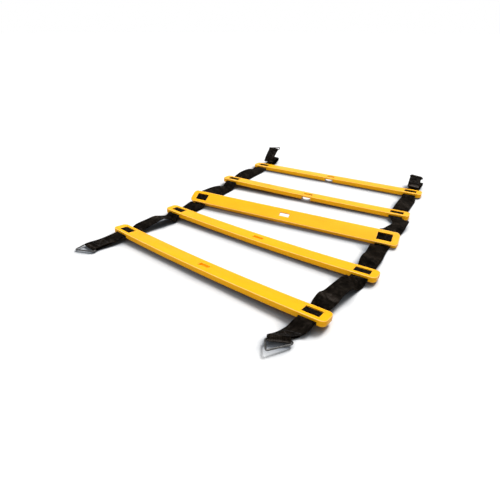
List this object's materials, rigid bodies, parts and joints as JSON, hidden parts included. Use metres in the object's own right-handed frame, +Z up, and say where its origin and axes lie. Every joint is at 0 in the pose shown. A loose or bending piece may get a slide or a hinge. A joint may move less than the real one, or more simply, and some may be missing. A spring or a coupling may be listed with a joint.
{
  "type": "agility ladder",
  "caption": "Folding agility ladder for foot drills: flat moulded slats on two webbing straps, with a wire ring sewn into each strap end.",
  "frame": {"origin": "centre of the bounding box's bottom face, on the floor", "axes": "+X along the slats to the right, +Y from the near end to the far end, +Z up from the floor"},
  "size_m": [0.4836, 0.6666, 0.0428],
  "materials": {
    "yellow_plastic": "satin moulded plastic",
    "black_webbing": "woven webbing",
    "ring_steel": "bent steel wire"
  },
  "bodies": {
    "slat_1": {"slat_1": "yellow_plastic", "strap_left_in_slat_1": "black_webbing", "strap_right_in_slat_1": "black_webbing", "strap_left_front_end": "black_webbing", "strap_right_front_end": "black_webbing"},
    "slat_2": {"slat_2": "yellow_plastic", "strap_left_in_slat_2": "black_webbing", "strap_right_in_slat_2": "black_webbing", "strap_left_1_to_2": "black_webbing", "strap_right_1_to_2": "black_webbing"},
    "slat_3": {"slat_3": "yellow_plastic", "strap_left_in_slat_3": "black_webbing", "strap_right_in_slat_3": "black_webbing", "strap_left_2_to_3": "black_webbing", "strap_right_2_to_3": "black_webbing", "strap_left_3_to_4": "black_webbing", "strap_right_3_to_4": "black_webbing"},
    "slat_4": {"slat_4": "yellow_plastic", "strap_left_in_slat_4": "black_webbing", "strap_right_in_slat_4": "black_webbing", "strap_left_4_to_5": "black_webbing", "strap_right_4_to_5": "black_webbing"},
    "slat_5": {"slat_5": "yellow_plastic", "strap_left_in_slat_5": "black_webbing", "strap_right_in_slat_5": "black_webbing", "strap_left_back_end": "black_webbing", "strap_right_back_end": "black_webbing"},
    "ring_left_front": {"ring_left_front": "ring_steel"},
    "ring_left_back": {"ring_left_back": "ring_steel"},
    "ring_right_front": {"ring_right_front": "ring_steel"},
    "ring_right_back": {"ring_right_back": "ring_steel"}
  },
  "joints": [
    {"name": "fold_1_2", "type": "hinge", "parent": "slat_2", "child": "slat_1", "pos_m": [0.00282, -0.16749, 0.00205], "axis": [0.9958, -0.0914, 0], "range_deg": [0, 165], "deforming": ["strap_left_1_to_2", "strap_right_1_to_2"]},
    {"name": "fold_2_3", "type": "hinge", "parent": "slat_3", "child": "slat_2", "pos_m": [0.02078, -0.0597, 0.01005], "axis": [-1, 0.002, 0], "range_deg": [0, 135], "deforming": ["strap_left_2_to_3", "strap_right_2_to_3"]},
    {"name": "fold_3_4", "type": "hinge", "parent": "slat_3", "child": "slat_4", "pos_m": [0.02297, 0.05269, 0.02005], "axis": [-0.9987, -0.0514, 0], "range_deg": [0, 135], "deforming": ["strap_left_3_to_4", "strap_right_3_to_4"]},
    {"name": "fold_4_5", "type": "hinge", "parent": "slat_4", "child": "slat_5", "pos_m": [0.02437, 0.18723, 0.01605], "axis": [0.9998, 0.021, 0], "range_deg": [0, 165], "deforming": ["strap_left_4_to_5", "strap_right_4_to_5"]},
    {"name": "ring_left_front_swing", "type": "hinge", "parent": "slat_1", "child": "ring_left_front", "pos_m": [-0.22256, -0.27304, 0.00412], "axis": [-0.9877, 0.1564, 0.0067], "range_deg": [-95, 95]},
    {"name": "ring_left_back_swing", "type": "hinge", "parent": "slat_5", "child": "ring_left_back", "pos_m": [-0.16359, 0.3127, 0.03939], "axis": [-0.9995, 0, 0.0315], "range_deg": [-120, 75]},
    {"name": "ring_right_front_swing", "type": "hinge", "parent": "slat_1", "child": "ring_right_front", "pos_m": [0.15774, -0.3087, 0.00689], "axis": [0.9043, 0.4217, -0.0667], "range_deg": [-95, 95]},
    {"name": "ring_right_back_swing", "type": "hinge", "parent": "slat_5", "child": "ring_right_back", "pos_m": [0.21783, 0.31737, 0.02548], "axis": [0.9945, -0.0695, -0.0787], "range_deg": [-15, 120]}
  ]
}
